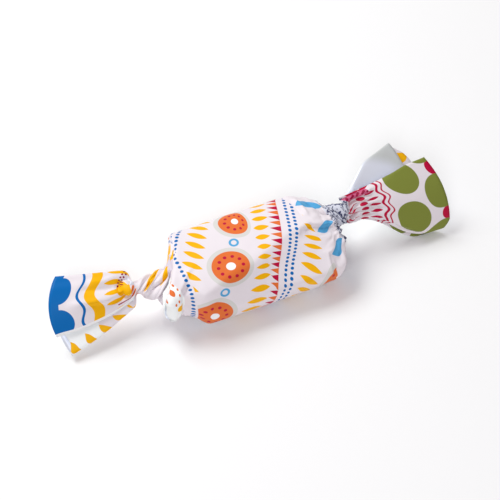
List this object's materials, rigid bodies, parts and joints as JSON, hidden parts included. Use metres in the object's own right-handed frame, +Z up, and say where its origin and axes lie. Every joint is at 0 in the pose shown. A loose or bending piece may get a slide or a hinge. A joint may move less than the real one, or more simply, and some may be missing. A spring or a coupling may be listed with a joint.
{
  "type": "twist-wrapped sweet",
  "caption": "Oblong sweet in a printed paper wrapper, twisted at both ends into a narrow neck and a folded fan, lying on its flat underside.",
  "frame": {"origin": "middle of the flat spot on the underside that the sweet rests on", "axes": "+X along the sweet towards the fan with the taller back layer, -Y towards the near side, +Z up"},
  "size_m": [0.102, 0.0281, 0.0169],
  "materials": {
    "printed_wrapper": "satin waxed paper, printed outside and silvery inside"
  },
  "bodies": {
    "root": {"wrapped_sweet": "printed_wrapper"}
  },
  "joints": []
}
